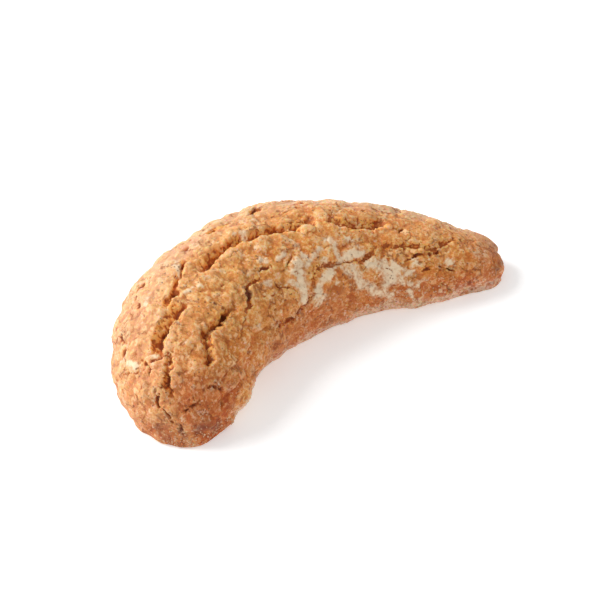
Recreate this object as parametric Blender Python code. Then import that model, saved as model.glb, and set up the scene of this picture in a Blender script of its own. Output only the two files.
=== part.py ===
"""A vanilla crescent cookie: one baked log of nutty dough, bent into a crescent, flat underneath.

The form is a section swept along a curved spine. A place on its skin is a pair (along, across): along
runs from 0 at the left horn's tip to 1 at the right one's, and across from 0 at the foot of the outer
side, over the crest at about 0.5, to 1 at the foot of the inner side. Lengths are in millimetres until
the mesh is made. +X runs from horn to horn, the crescent opens towards -Y, and it lies on z = 0.
"""

import math

import bmesh
import bpy
import numpy as np
from mathutils import Vector, noise

MM = 0.001
NAME = "crescent_cookie"

# Spine
SPINE_LENGTH = 76.7
SPINE_MIDDLE = (0.1, 3.9)
SPINE_HEADINGS = (72.0, 36.0, -6.0, -31.0, -47.0)  # degrees from +X, at even steps along

# Section: half widths at even steps along, and the shape across
OUTER_HALF_WIDTHS = (6.3, 11.5, 12.7, 12.5, 11.2, 8.1, 4.7)
INNER_HALF_WIDTHS = (6.6, 10.5, 12.3, 12.6, 10.4, 7.9, 4.0)
HEIGHT_TO_WIDTH = 0.62
WIDEST_AT = 0.3  # share of the height at which the section is widest
FOOT_TUCK = 0.12  # how far the sides pull in below that
FOOT_SHARE = 0.1  # share of the way across that each tucked foot takes
HORN_CAPS = (6.2, 4.9)  # length of the rounded end of each horn
HORN_DROP = 0.8  # under 1, the horns keep their height further out than their width

# Places where the hand-rolled log is fuller or slacker than the swept section: (along, across, radius, rise)
BULGES = (
    (0.97, 0.30, 3.4, 0.5),
    (0.995, 0.50, 2.6, 0.5),
    (0.95, 0.97, 6.0, -0.95),
    (0.81, 0.985, 6.5, 0.9),
    (0.11, 0.94, 4.0, 0.7),
    (0.24, 0.97, 4.0, -0.5),
    (0.40, 0.26, 6.0, -0.7),
    (0.62, 0.31, 5.0, -0.4),
    (0.52, 0.31, 6.5, 0.5),
    (0.28, 0.20, 6.0, 0.4),
    (0.90, 0.31, 4.0, 0.3),
)

# Fissures where the dough tore open as it rose: (route of places on the skin, width, depth, lip). The lip
# is the height of the crust that curls up along the inner side.
FISSURES = (
    # along the crest, from the left horn to the right one
    (((0.11, 0.39), (0.14, 0.415), (0.165, 0.445), (0.19, 0.468), (0.215, 0.485)), 3.4, 1.9, 0.3),
    (((0.20, 0.425), (0.25, 0.438), (0.29, 0.435), (0.325, 0.42)), 2.4, 1.1, 0.2),
    (((0.30, 0.485), (0.35, 0.497), (0.41, 0.505), (0.45, 0.52), (0.50, 0.53), (0.56, 0.535), (0.60, 0.50)),
     3.3, 2.0, 0.35),
    (((0.62, 0.525), (0.66, 0.55), (0.70, 0.553), (0.735, 0.535), (0.755, 0.50)), 3.3, 1.5, 0.3),
    # on the left horn
    (((0.035, 0.385), (0.06, 0.40), (0.08, 0.425), (0.105, 0.45)), 2.0, 0.8, 0.1),
    (((0.075, 0.59), (0.10, 0.61), (0.135, 0.588), (0.165, 0.605), (0.195, 0.635), (0.24, 0.648)),
     3.0, 1.5, 0.2),
    # on the inner slope
    (((0.25, 0.695), (0.285, 0.70), (0.305, 0.675), (0.33, 0.655), (0.38, 0.66)), 1.8, 0.8, 0.1),
    (((0.31, 0.85), (0.36, 0.835), (0.42, 0.85), (0.46, 0.825), (0.50, 0.81), (0.525, 0.78)), 1.7, 0.5, 0.1),
    (((0.525, 0.77), (0.545, 0.72), (0.60, 0.713), (0.67, 0.718), (0.70, 0.685), (0.725, 0.65)),
     1.9, 0.8, 0.1),
    # on the right horn
    (((0.73, 0.65), (0.79, 0.635), (0.845, 0.638), (0.87, 0.59), (0.90, 0.54)), 2.0, 0.7, 0.1),
    (((0.80, 0.695), (0.84, 0.668), (0.87, 0.655)), 1.6, 0.5, 0.0),
    (((0.87, 0.84), (0.885, 0.89), (0.88, 0.94)), 1.6, 0.5, 0.0),
    # on the outer side
    (((0.40, 0.392), (0.45, 0.397)), 1.6, 0.5, 0.0),
    (((0.49, 0.41), (0.52, 0.37)), 1.6, 0.5, 0.0),
    (((0.52, 0.27), (0.58, 0.25), (0.64, 0.26), (0.71, 0.235)), 2.2, 0.8, 0.1),
    (((0.30, 0.19), (0.36, 0.17), (0.43, 0.185)), 2.0, 0.6, 0.1),
)
INNER_WALL = 0.45  # share of a fissure's width that its steeper, inner wall takes
LIP_REACH = 1.6
FISSURE_TAPER = 0.16  # share of its length over which a fissure closes at each end
WANDER_SIZE = 1.9
WANDER_REACH = 0.35  # how far the crumbly edges stray from the route

# Crackle between the fissures, crumb lumps and the slow unevenness of the log
CRACKLE_CELL = 6.5
CRACKLE_SEAM = 0.16  # of a cell
CRACKLE_DEPTH = 0.4
CRACKLE_STRETCH = 0.75  # under 1, the plates are longer from horn to horn
CRACKLE_BEND = 0.25
CRACKLE_PATCHES = 14.0  # size of the patches in which the crackle is stronger or weaker
LUMP_CELL = 3.2
LUMP_REACH = 0.75  # of a cell
LUMP_HEIGHT = 0.45
LUMP_MEAN = 0.45  # of that height, taken off so that the lumps leave the size as it is
SWELL_SIZE = 9.0
SWELL_HEIGHT = 0.45
GRAIN_SIZE = 2.2
GRAIN_HEIGHT = 0.18
CALM_BELOW = 3.0  # under this height the crust is smoother, as it baked against the tray
CALM_SHARE = 0.3
LOWEST_SKIN = 0.15
NOISE_SEED = 5

# Steps in which curves are followed
SPINE_STEPS = 400
ROUTE_STEPS = 240
ROUTE_SPACING = 0.4

# Grid of the surface
CELLS = (84, 17, 17)  # along, over the top, and up each side
CAP_GRID_AT = 0.5  # share of each horn's rounded end that its end grid covers
FACE_AT = 0.9999  # beyond this, a place on the block with corners at -1 and 1 is on a face
SMOOTHING = 0.35
SMOOTHING_PASSES = 2

CRUST_COLOUR = (0.58, 0.30, 0.11, 1.0)
CRUST_ROUGHNESS = 0.85
CREASE_ANGLE = 50


def profile(values, along):
    """A smooth curve through values given at even steps from 0 to 1."""
    values = np.asarray(values, float)
    stations = np.linspace(0, 1, len(values))
    slopes = np.gradient(values, stations)
    left = np.clip(np.searchsorted(stations, along, side="right") - 1, 0, len(values) - 2)
    step = stations[1]
    t = (along - stations[left]) / step
    return (
        (2 * t**3 - 3 * t**2 + 1) * values[left]
        + (t**3 - 2 * t**2 + t) * step * slopes[left]
        + (3 * t**2 - 2 * t**3) * values[left + 1]
        + (t**3 - t**2) * step * slopes[left + 1]
    )


def spine(along):
    """The spine's x and y and its heading, by adding up short steps from the left tip."""
    share = np.linspace(0, 1, SPINE_STEPS + 1)
    step = SPINE_LENGTH / SPINE_STEPS
    heading = np.radians(profile(SPINE_HEADINGS, share))
    middle = (heading[1:] + heading[:-1]) / 2
    x = np.concatenate([[0], np.cumsum(np.cos(middle))]) * step
    y = np.concatenate([[0], np.cumsum(np.sin(middle))]) * step
    x += SPINE_MIDDLE[0] - x[SPINE_STEPS // 2]
    y += SPINE_MIDDLE[1] - y[SPINE_STEPS // 2]
    return np.interp(along, share, x), np.interp(along, share, y), np.interp(along, share, heading)


def cap_scale(along):
    """The share of its full width that the section keeps in a horn's rounded end."""
    scale = np.ones_like(along)
    for share, length in zip((along, 1 - along), HORN_CAPS):
        inward = np.clip(share * SPINE_LENGTH / length, 0, 1)
        scale = scale * np.sqrt(1 - (1 - inward) ** 2)
    return scale


def section(across):
    """The section's outline from outer foot to inner foot: sideways from 1 to -1, and height from 0 to 1."""
    foot = np.clip(np.minimum(across, 1 - across) / FOOT_SHARE, 0, 1)
    angle = np.clip((across - FOOT_SHARE) / (1 - 2 * FOOT_SHARE), 0, 1) * math.pi
    sideways = np.cos(angle) * (1 - FOOT_TUCK * (1 - foot) ** 2)
    height = WIDEST_AT * foot + (1 - WIDEST_AT) * np.sin(angle)
    return sideways, height


def at_spine(along, sideways, height):
    """Points at a share of the section's half widths and height."""
    x, y, heading = spine(along)
    cap = cap_scale(along)
    outer = profile(OUTER_HALF_WIDTHS, along)
    inner = profile(INNER_HALF_WIDTHS, along)
    reach = np.where(sideways > 0, outer, inner) * sideways * cap
    rise = HEIGHT_TO_WIDTH * (outer + inner) * cap**HORN_DROP * height
    return np.stack([x - np.sin(heading) * reach, y + np.cos(heading) * reach, rise], axis=-1)


def skin(along, across):
    return at_spine(along, *section(across))


def block_places(block):
    """Where each vertex of the gridded block lies: along, across, sideways, and whether on the underside.

    The sides and the top of the block each take a third of the way across. On its ends, the rim of the
    underside runs along the diagonals from the lower corners to the middle.
    """
    x, y, z = block.T
    ring = np.maximum(np.abs(y), np.abs(z))
    on_end = np.abs(x) > FACE_AT
    spread = np.where(on_end & (ring > 0), ring, 1)
    y, z = y / spread, z / spread
    widest = math.sqrt(1 - (1 - CAP_GRID_AT) ** 2)
    inward = 1 - np.sqrt(1 - (np.where(on_end, ring, 1) * widest) ** 2)
    from_left = inward * HORN_CAPS[0] / SPINE_LENGTH
    from_right = inward * HORN_CAPS[1] / SPINE_LENGTH
    along = from_left + (1 - from_left - from_right) * (x + 1) / 2
    side = (z + 1) / 6
    top = 1 / 3 + (1 - y) / 6
    across = np.select([y > FACE_AT, y < -FACE_AT], [side, 1 - side], top)
    return along, across, y, z < -FACE_AT


def crescent_grid():
    """The smooth form, from a block cut into cells and bent along the spine, with its underside and rim."""
    bm = bmesh.new()
    bmesh.ops.create_cube(bm, size=2)
    for axis, cells in enumerate(CELLS):
        edges = [e for e in bm.edges if abs(e.verts[0].co[axis] - e.verts[1].co[axis]) > 1]
        bmesh.ops.subdivide_edges(bm, edges=edges, cuts=cells - 1, use_grid_fill=True)
    along, across, sideways, low = block_places(np.array([v.co for v in bm.verts]))
    over = skin(along, across)
    under = at_spine(along, sideways * (1 - FOOT_TUCK), np.zeros_like(along))
    for v, point in zip(bm.verts, np.where(low[:, None], under, over)):
        v.co = point
    underside = {v for v, is_low in zip(bm.verts, low) if is_low}
    split_along_rim(bm, underside)
    bm.normal_update()
    rim = {v for v in underside if any(u not in underside for f in v.link_faces for u in f.verts)}
    return bm, underside, rim


def split_along_rim(bm, underside):
    """Cuts each cell of which only one corner is above the underside, across to its two neighbours."""
    for cell in list(bm.faces):
        above = [loop for loop in cell.loops if loop.vert not in underside]
        if len(above) == 1:
            corner = above[0]
            bmesh.utils.face_split(cell, corner.link_loop_prev.vert, corner.link_loop_next.vert)


def route_points(route):
    """Points along a fissure's route on the skin, closely spaced, and each one's share of the way."""
    route = np.array(route)
    fine = np.linspace(0, 1, ROUTE_STEPS)
    points = skin(profile(route[:, 0], fine), profile(route[:, 1], fine))
    run = np.concatenate([[0], np.cumsum(np.linalg.norm(np.diff(points, axis=0), axis=1))])
    even = np.linspace(0, run[-1], int(run[-1] / ROUTE_SPACING) + 2)
    return np.stack([np.interp(even, run, points[:, i]) for i in range(3)], axis=1), even / run[-1]


def smooth_step(t):
    t = np.clip(t, 0, 1)
    return t * t * (3 - 2 * t)


def bulge_relief(points):
    relief = np.zeros(len(points))
    for along, across, radius, rise in BULGES:
        centre = skin(np.array([along]), np.array([across]))
        relief += rise * smooth_step(1 - np.linalg.norm(points - centre, axis=1) / radius)
    return relief


def fissure_relief(points, normals):
    """How far each point sinks or rises by the fissures."""
    relief = np.zeros(len(points))
    strayed = np.array([Vector(p) + wander(Vector(p)) for p in points])
    for route, width, depth, lip in FISSURES:
        path, share = route_points(route)
        gaps = np.linalg.norm(strayed[:, None] - path[None], axis=2)
        nearest = gaps.argmin(axis=1)
        gap = gaps[np.arange(len(points)), nearest]
        ahead = path[np.minimum(nearest + 1, len(path) - 1)] - path[np.maximum(nearest - 1, 0)]
        on_inner = np.einsum("ij,ij->i", np.cross(ahead, normals), strayed - path[nearest]) > 0
        opening = np.sqrt(np.clip(np.minimum(share, 1 - share) / FISSURE_TAPER, 0, 1))[nearest]
        half = np.where(on_inner, INNER_WALL, 1 - INNER_WALL) * width
        relief -= depth * opening * smooth_step(1 - gap / half)
        relief += np.where(on_inner, lip * opening * smooth_step(1 - np.abs(gap - half) / LIP_REACH), 0)
    return relief


def wander(point):
    return WANDER_REACH * noise.noise_vector(point / WANDER_SIZE)


def crackle(point):
    """The shallow net of cracks between plates of crust."""
    p = point / CRACKLE_CELL
    p = Vector((p.x * CRACKLE_STRETCH, p.y, p.z)) + CRACKLE_BEND * noise.noise_vector(p)
    near, second = noise.voronoi(p)[0][:2]
    seam = max(0.0, 1 - (second - near) / CRACKLE_SEAM)
    strength = min(1.0, max(0.0, 0.5 + noise.noise(point / CRACKLE_PATCHES)))
    return -CRACKLE_DEPTH * seam * strength


def lumps(point):
    """Rounded lumps of chopped nut and crumb under the crust."""
    near = noise.voronoi(point / LUMP_CELL)[0][0]
    return LUMP_HEIGHT * (max(0.0, 1 - (near / LUMP_REACH) ** 2) - LUMP_MEAN)


def swell(point):
    return SWELL_HEIGHT * noise.noise(point / SWELL_SIZE) + GRAIN_HEIGHT * noise.noise(point / GRAIN_SIZE)


def roughen(bm, underside, rim):
    """Moves the skin in and out by its relief. The rim of the underside moves only sideways."""
    moved = [v for v in bm.verts if v not in underside or v in rim]
    points = np.array([v.co for v in moved])
    normals = np.array([v.normal for v in moved])
    large = bulge_relief(points) + fissure_relief(points, normals)
    for v, rise in zip(moved, large):
        calm = CALM_SHARE + (1 - CALM_SHARE) * min(1.0, v.co.z / CALM_BELOW)
        rise += swell(v.co) + calm * (crackle(v.co) + lumps(v.co))
        v.co += v.normal * rise
    free = [v for v in moved if v not in rim]
    for _ in range(SMOOTHING_PASSES):
        bmesh.ops.smooth_vert(
            bm, verts=free, factor=SMOOTHING, use_axis_x=True, use_axis_y=True, use_axis_z=True
        )
    for v in free:
        v.co.z = max(v.co.z, LOWEST_SKIN)


def flatten_underside(bm, underside, rim):
    """Puts the underside in its plane and joins its cells into one flat face."""
    low = [v for v in bm.verts if v in underside]
    for v in low:
        v.co.z = 0
    bmesh.ops.dissolve_verts(bm, verts=[v for v in low if v not in rim])


def split_cells(bm):
    """Cuts each cell across its shorter diagonal, which follows the walls of the fissures."""
    cells = [f for f in bm.faces if len(f.verts) == 4]
    bmesh.ops.triangulate(bm, faces=cells, quad_method="SHORT_EDGE")


def crust_material():
    material = bpy.data.materials.new("baked_crust")
    material.use_nodes = True
    shader = material.node_tree.nodes["Principled BSDF"]
    shader.inputs["Base Color"].default_value = CRUST_COLOUR
    shader.inputs["Roughness"].default_value = CRUST_ROUGHNESS
    shader.inputs["Metallic"].default_value = 0.0
    material.diffuse_color = CRUST_COLOUR
    return material


def build():
    for obj in list(bpy.data.objects):
        bpy.data.objects.remove(obj, do_unlink=True)
    collection = bpy.data.collections.new("vanilla_crescent")
    bpy.context.scene.collection.children.link(collection)
    noise.seed_set(NOISE_SEED)
    bm, underside, rim = crescent_grid()
    roughen(bm, underside, rim)
    flatten_underside(bm, underside, rim)
    split_cells(bm)
    bmesh.ops.recalc_face_normals(bm, faces=bm.faces)
    bmesh.ops.scale(bm, vec=(MM, MM, MM), verts=bm.verts)
    mesh = bpy.data.meshes.new(NAME)
    bm.to_mesh(mesh)
    bm.free()
    mesh.shade_smooth()
    mesh.set_sharp_from_angle(angle=math.radians(CREASE_ANGLE))
    mesh.materials.append(crust_material())
    cookie = bpy.data.objects.new(NAME, mesh)
    collection.objects.link(cookie)


build()
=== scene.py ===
"""The looks of the vanilla crescent cookie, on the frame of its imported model.

One fine mesh replaces the plain solid. It has the same form, with fuller lumps near the tray and with the
torn crumb, cracks, pores and nut bits that are too fine for the solid, and it carries the masks that its
crust material reads. Sugar grains and loose crumbs are joined meshes of their own.

A place on the skin is a pair (along, across): along runs from 0 at the left horn's tip to 1 at the right
one's, and across from 0 at the foot of the outer side, over the crest at about 0.5, to 1 at the foot of the
inner side. Lengths are in millimetres until a mesh is made.
"""

import math
import random
from types import SimpleNamespace

import bmesh
import bpy
import numpy as np
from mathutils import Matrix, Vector, noise
from mathutils.kdtree import KDTree


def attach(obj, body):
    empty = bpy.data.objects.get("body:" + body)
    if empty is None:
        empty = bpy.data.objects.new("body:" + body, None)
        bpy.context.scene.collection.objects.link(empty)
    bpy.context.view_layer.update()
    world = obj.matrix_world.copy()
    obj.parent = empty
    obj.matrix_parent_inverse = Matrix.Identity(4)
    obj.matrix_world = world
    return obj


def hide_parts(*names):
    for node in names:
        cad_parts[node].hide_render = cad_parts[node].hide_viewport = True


MM = 0.001
NODE = "crescent_cookie"

# ---- The form, as in the solid ----

SPINE_LENGTH = 76.7
SPINE_MIDDLE = (0.1, 3.9)
SPINE_HEADINGS = (72.0, 36.0, -6.0, -31.0, -47.0)  # degrees from +X, at even steps along
OUTER_HALF_WIDTHS = (6.3, 11.5, 12.7, 12.5, 11.2, 8.1, 4.7)
INNER_HALF_WIDTHS = (6.6, 10.5, 12.3, 12.6, 10.4, 7.9, 4.0)
HEIGHT_TO_WIDTH = 0.62
WIDEST_AT = 0.3
FOOT_TUCK = 0.12
FOOT_SHARE = 0.1
HORN_CAPS = (6.2, 4.9)
HORN_DROP = 0.8

# Where the log is fuller or slacker than the swept section: (along, across, radius, rise)
BULGES = (
    (0.97, 0.30, 3.4, 0.5),
    (0.995, 0.50, 2.6, 0.5),
    (0.95, 0.97, 6.0, -0.95),
    (0.81, 0.985, 6.5, 0.9),
    (0.11, 0.94, 4.0, 0.7),
    (0.24, 0.97, 4.0, -0.5),
    (0.40, 0.26, 6.0, -0.7),
    (0.62, 0.31, 5.0, -0.4),
    (0.52, 0.31, 6.5, 0.5),
    (0.28, 0.20, 6.0, 0.4),
    (0.90, 0.31, 4.0, 0.3),
)

# Fissures: (route, width, depth, lip)
FISSURES = (
    # along the crest, from the left horn to the right one
    (((0.11, 0.39), (0.14, 0.415), (0.165, 0.445), (0.19, 0.468), (0.215, 0.485)), 3.4, 1.9, 0.3),
    (((0.20, 0.425), (0.25, 0.438), (0.29, 0.435), (0.325, 0.42)), 2.4, 1.1, 0.2),
    (((0.30, 0.485), (0.35, 0.497), (0.41, 0.505), (0.45, 0.52), (0.50, 0.53), (0.56, 0.535), (0.60, 0.50)),
     3.3, 2.0, 0.35),
    (((0.62, 0.525), (0.66, 0.55), (0.70, 0.553), (0.735, 0.535), (0.755, 0.50)), 3.3, 1.5, 0.3),
    # on the left horn
    (((0.035, 0.385), (0.06, 0.40), (0.08, 0.425), (0.105, 0.45)), 2.0, 0.8, 0.1),
    (((0.075, 0.59), (0.10, 0.61), (0.135, 0.588), (0.165, 0.605), (0.195, 0.635), (0.24, 0.648)),
     3.0, 1.5, 0.2),
    # on the inner slope
    (((0.25, 0.695), (0.285, 0.70), (0.305, 0.675), (0.33, 0.655), (0.38, 0.66)), 1.8, 0.8, 0.1),
    (((0.31, 0.85), (0.36, 0.835), (0.42, 0.85), (0.46, 0.825), (0.50, 0.81), (0.525, 0.78)), 1.7, 0.5, 0.1),
    (((0.525, 0.77), (0.545, 0.72), (0.60, 0.713), (0.67, 0.718), (0.70, 0.685), (0.725, 0.65)),
     1.9, 0.8, 0.1),
    # on the right horn
    (((0.73, 0.65), (0.79, 0.635), (0.845, 0.638), (0.87, 0.59), (0.90, 0.54)), 2.0, 0.7, 0.1),
    (((0.80, 0.695), (0.84, 0.668), (0.87, 0.655)), 1.6, 0.5, 0.0),
    (((0.87, 0.84), (0.885, 0.89), (0.88, 0.94)), 1.6, 0.5, 0.0),
    # on the outer side
    (((0.40, 0.392), (0.45, 0.397)), 1.6, 0.5, 0.0),
    (((0.49, 0.41), (0.52, 0.37)), 1.6, 0.5, 0.0),
    (((0.52, 0.27), (0.58, 0.25), (0.64, 0.26), (0.71, 0.235)), 2.2, 0.8, 0.1),
    (((0.30, 0.19), (0.36, 0.17), (0.43, 0.185)), 2.0, 0.6, 0.1),
)
INNER_WALL = 0.38  # of a fissure's width
NARROW_BELOW = 3.2  # fissures under this width are drawn sharper than the solid can have them
NARROWING = 0.7
LIP_REACH = 1.6
LIP_SHARE = 0.7  # of the solid's lip, as grains make up the rest
FISSURE_TAPER = 0.16
FILL_SIZE = 2.6  # of the crumb that partly fills a fissure
FILL_SHARE = 0.7
WANDERS = ((1.9, 0.42), (0.8, 0.22), (0.4, 0.06))  # sizes and reaches of a torn edge's jaggedness

CRACKLE_CELL = 6.5
CRACKLE_SEAM = 0.16
CRACKLE_DEPTH = 0.4
CRACKLE_STRETCH = 0.75
CRACKLE_BEND = 0.25
CRACKLE_PATCHES = 14.0
LUMP_CELL = 3.2
LUMP_REACH = 0.75
LUMP_HEIGHT = 0.45
LUMP_MEAN = 0.45
SWELL_SIZE = 9.0
SWELL_HEIGHT = 0.45
GRAIN_SIZE = 2.2
GRAIN_HEIGHT = 0.18

SPINE_STEPS = 400
ROUTE_STEPS = 240
ROUTE_SPACING = 0.25
EVENING_PASSES = 16
EVENING_SHARE = 0.6
FACE_AT = 0.9999
CAP_GRID_AT = 0.5

# ---- What is too fine for the solid ----

CELLS = (329, 79, 79)  # along, over the top, and up each side
LOWEST_SKIN = 0.03
HOLLOWS = ((4, 0.05), (60, 0.30))  # passes of averaging, and how far out counts as one
HOLLOW_CONTRAST = 0.2

# The map for baking, in millimetres on its sheet
SHEET_SIZE = 84.0
SKIN_HEIGHT = 48.0
UNDERSIDE_AT = (35.5, 67.0)
END_HALF_SIZE = 5.5
END_AT_U = 77.5
LEFT_END_AT_V = 69.5
RIGHT_END_AT_V = 56.5

WALL_STEEPNESS = 1.05
LEAN = 0.35  # how far the inner lip hangs over a fissure 2 mm deep
LEAN_AT = 0.85  # of the inner wall's width
LEAN_REACH = 1.1

# Fine cracks: (route, width, depth)
CRACKS = (
    # on the left horn
    (((0.052, 0.345), (0.048, 0.30), (0.038, 0.255)), 0.9, 0.7),
    (((0.036, 0.30), (0.026, 0.293), (0.016, 0.268)), 0.8, 0.5),
    (((0.085, 0.441), (0.070, 0.414), (0.058, 0.398), (0.042, 0.404)), 0.8, 0.5),
    (((0.018, 0.41), (0.022, 0.489), (0.028, 0.556)), 0.7, 0.6),
    (((0.044, 0.575), (0.046, 0.624), (0.048, 0.669), (0.044, 0.707), (0.032, 0.724), (0.022, 0.747)),
     0.8, 0.7),
    (((0.034, 0.50), (0.040, 0.545)), 0.5, 0.4),
    (((0.014, 0.305), (0.008, 0.273), (0.003, 0.228)), 0.7, 0.6),
    (((0.008, 0.43), (0.010, 0.554), (0.012, 0.72)), 0.45, 0.3),
    (((0.118, 0.20), (0.108, 0.24), (0.100, 0.28), (0.096, 0.346)), 0.6, 0.35),
    (((0.120, 0.311), (0.104, 0.333), (0.092, 0.346), (0.085, 0.321)), 0.9, 0.6),
    (((0.100, 0.348), (0.104, 0.388), (0.106, 0.424), (0.108, 0.456)), 0.8, 0.5),
    (((0.056, 0.345), (0.060, 0.38)), 0.6, 0.4),
    (((0.16, 0.715), (0.20, 0.715), (0.225, 0.705), (0.25, 0.70)), 0.6, 0.3),
    # on the outer side
    (((0.190, 0.215), (0.176, 0.233), (0.162, 0.253)), 0.6, 0.5),
    (((0.144, 0.210), (0.146, 0.24), (0.158, 0.255)), 0.6, 0.5),
    (((0.245, 0.280), (0.220, 0.322)), 0.6, 0.5),
    (((0.208, 0.185), (0.205, 0.233), (0.212, 0.272)), 0.7, 0.5),
    (((0.259, 0.288), (0.271, 0.293), (0.287, 0.325)), 0.8, 0.5),
    (((0.400, 0.397), (0.425, 0.393), (0.452, 0.393)), 0.8, 0.5),
    (((0.480, 0.418), (0.503, 0.388), (0.535, 0.30)), 0.8, 0.5),
    (((0.580, 0.407), (0.600, 0.404)), 0.9, 0.4),
    (((0.545, 0.451), (0.580, 0.434)), 0.7, 0.4),
    # on the crest and the inner slope
    (((0.445, 0.682), (0.480, 0.657), (0.510, 0.636)), 0.5, 0.4),
    (((0.385, 0.632), (0.430, 0.646)), 0.5, 0.4),
    (((0.300, 0.69), (0.305, 0.672), (0.323, 0.652), (0.350, 0.654), (0.385, 0.658)), 0.8, 0.6),
    (((0.325, 0.712), (0.385, 0.726)), 0.5, 0.35),
    (((0.408, 0.696), (0.433, 0.732), (0.472, 0.764)), 0.5, 0.35),
    (((0.305, 0.73), (0.34, 0.73)), 0.6, 0.4),
    (((0.33, 0.775), (0.36, 0.775)), 0.5, 0.35),
    (((0.674, 0.464), (0.687, 0.472)), 0.8, 0.4),
    (((0.704, 0.458), (0.714, 0.464)), 0.8, 0.4),
    (((0.721, 0.466), (0.731, 0.456)), 0.8, 0.4),
    (((0.741, 0.459), (0.750, 0.461)), 0.8, 0.4),
    # on the right horn
    (((0.822, 0.771), (0.842, 0.747), (0.866, 0.732), (0.885, 0.75), (0.90, 0.767)), 0.7, 0.5),
    (((0.776, 0.558), (0.790, 0.536)), 0.9, 0.6),
    (((0.784, 0.719), (0.814, 0.677), (0.846, 0.679)), 0.7, 0.4),
)
CRACK_WANDERS = ((1.4, 0.36), (0.5, 0.24))
CRACK_UNEVENNESS = (0.9, 0.8)  # size and reach of the swelling of their width
CRACK_TAPER = 0.15
STRAY_CRACKS = 120
STRAY_ALONG = (0.04, 0.94)
STRAY_ACROSS = (0.12, 0.9)
STRAY_LENGTHS = (0.01, 0.045)  # in shares along
STRAY_WIDTHS = (0.3, 0.5)
STRAY_DEPTHS = (0.12, 0.35)
STRAY_BENDS = 4

# Pits in the crust and holes at the bottom of the fissures: (along, across, radius, depth)
PITS = (
    (0.147, 0.235, 0.8, 0.5),
    (0.175, 0.235, 0.7, 0.5),
    (0.225, 0.31, 0.7, 0.4),
    (0.27, 0.29, 0.8, 0.4),
    (0.355, 0.375, 0.8, 0.4),
    (0.154, 0.429, 0.7, 0.6),
    (0.212, 0.639, 0.8, 0.6),
    (0.238, 0.446, 0.8, 0.6),
    (0.309, 0.431, 0.7, 0.6),
    (0.341, 0.501, 0.8, 0.6),
    (0.549, 0.551, 0.7, 0.6),
    (0.585, 0.531, 1.1, 0.9),
    (0.667, 0.576, 0.7, 0.5),
    (0.719, 0.566, 0.8, 0.6),
    (0.786, 0.647, 0.6, 0.5),
    (0.858, 0.652, 0.6, 0.5),
)
SECTION_LENGTH = 40.0
PORES = 260
PORE_RADII = (0.16, 0.42)
PORE_DEPTH = 0.5  # of its radius

# Grains of dough and nut: (spacing, height on smooth crust, on coarse crust, and where torn open)
GRAINS = ((2.4, 0.10, 0.24, 0.20), (1.1, 0.07, 0.17, 0.36), (0.55, 0.04, 0.08, 0.15))
BIT_SPACING = 1.1
BIT_SHARE = 0.78  # of these grains, the ones above this are pale bits of nut
GRAIN_GAP = 0.28
GRAIN_WARP = 0.35
GRAIN_MEAN = 0.4
LOT_MIX = Vector((12.99, 78.23, 37.72))
COARSE_SIZE = 7.0
GRIT_SIZE = 1.0
GRIT_HEIGHTS = (0.11, 0.14)  # on the crust and where torn open
RIM_SHARE = 0.6  # of the fine relief that the rim of the underside takes

# The masks of the crust's points. Its material reads all but the lip's.
MASKS = (
    "torn", "deep", "lip", "pore_shade", "grain", "bit", "flour", "burnt", "melted", "coarse", "toast_and_shade", "dust_and_bounce_light",
    "painted_sheen", "relief",
)

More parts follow.
